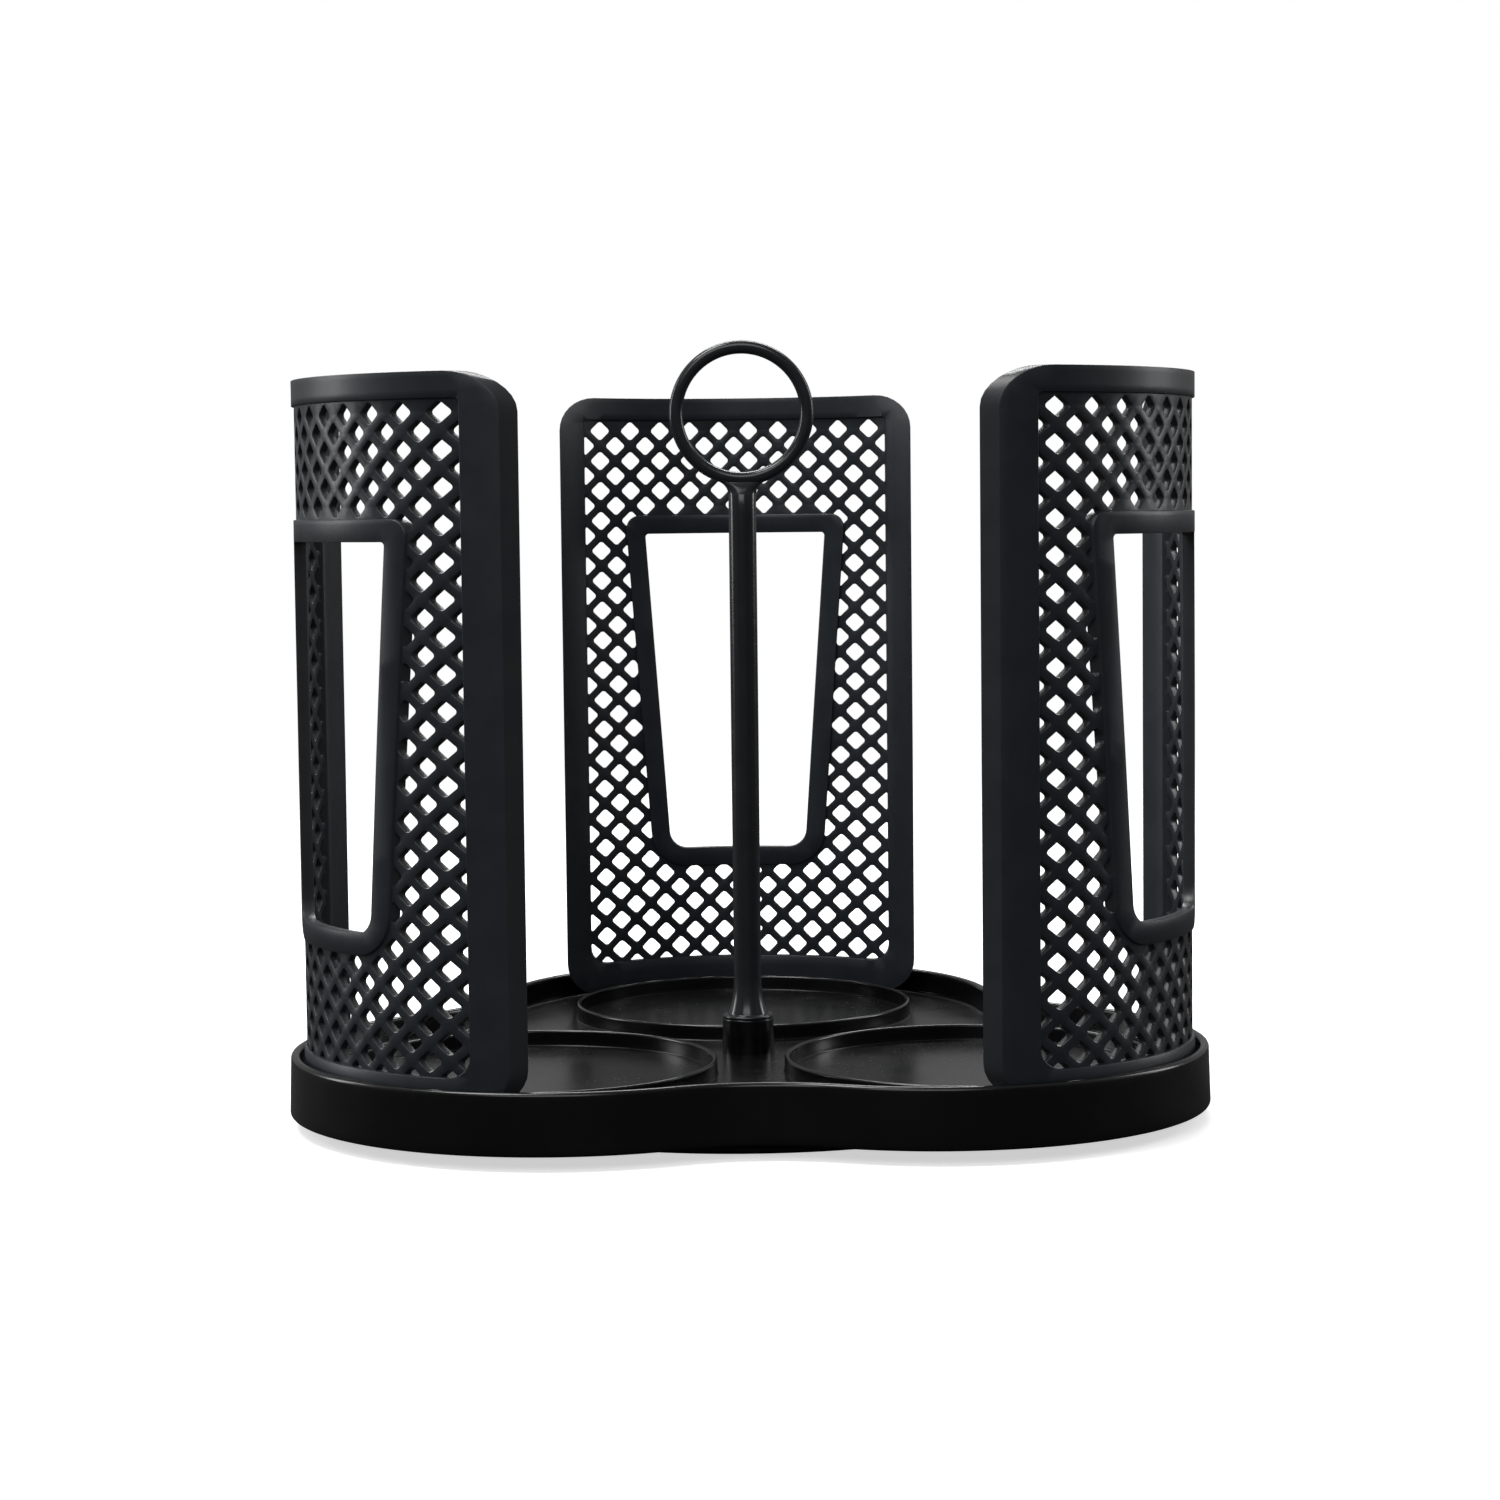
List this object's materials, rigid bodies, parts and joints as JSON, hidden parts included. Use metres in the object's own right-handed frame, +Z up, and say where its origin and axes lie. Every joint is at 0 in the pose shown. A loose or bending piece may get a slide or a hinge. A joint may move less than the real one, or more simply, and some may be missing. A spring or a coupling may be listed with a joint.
{
  "type": "lazy susan organizer",
  "caption": "Three-lobed rotating desk or counter organizer with curved lattice panels, cup rings, a centre pole with a ring handle and a ball-bearing base.",
  "frame": {"origin": "on the vertical spin axis, at the level of the surface that the rubber feet stand on", "axes": "+Z up along the spin axis; +Y towards the rear lobe, with the other two lobes at 120 degrees either side; +X to the right seen from the front notch"},
  "size_m": [0.2408, 0.2278, 0.2039],
  "materials": {
    "tray_plastic": "satin-gloss black moulded plastic",
    "panel_plastic": "satin black moulded plastic",
    "pole_plastic": "gloss black moulded plastic",
    "base_plastic": "matt black moulded plastic",
    "cage_plastic": "natural slippery plastic",
    "foot_rubber": "soft black rubber",
    "steel": "zinc-plated and polished steel"
  },
  "bodies": {
    "base": {"base_disc": "base_plastic", "foot_1": "foot_rubber", "foot_2": "foot_rubber", "foot_3": "foot_rubber", "foot_4": "foot_rubber", "foot_5": "foot_rubber", "foot_6": "foot_rubber"},
    "race": {"ball_cage": "cage_plastic", "bearing_balls": "steel"},
    "turntable": {"tray": "tray_plastic", "panel_rear": "panel_plastic", "panel_left": "panel_plastic", "panel_right": "panel_plastic", "pole": "pole_plastic", "pivot_screw": "steel", "pivot_washer": "steel"}
  },
  "joints": [
    {"name": "turntable_spin", "type": "hinge", "parent": "base", "child": "turntable", "pos_m": [0, 0, 0], "axis": [0, 0, 1], "continuous": true},
    {"name": "race_spin", "type": "hinge", "parent": "base", "child": "race", "pos_m": [0, 0, 0], "axis": [0, 0, 1], "continuous": true}
  ],
  "couplings": [
    {"joint": "race_spin", "follows": "turntable_spin", "ratio": 0.5}
  ]
}
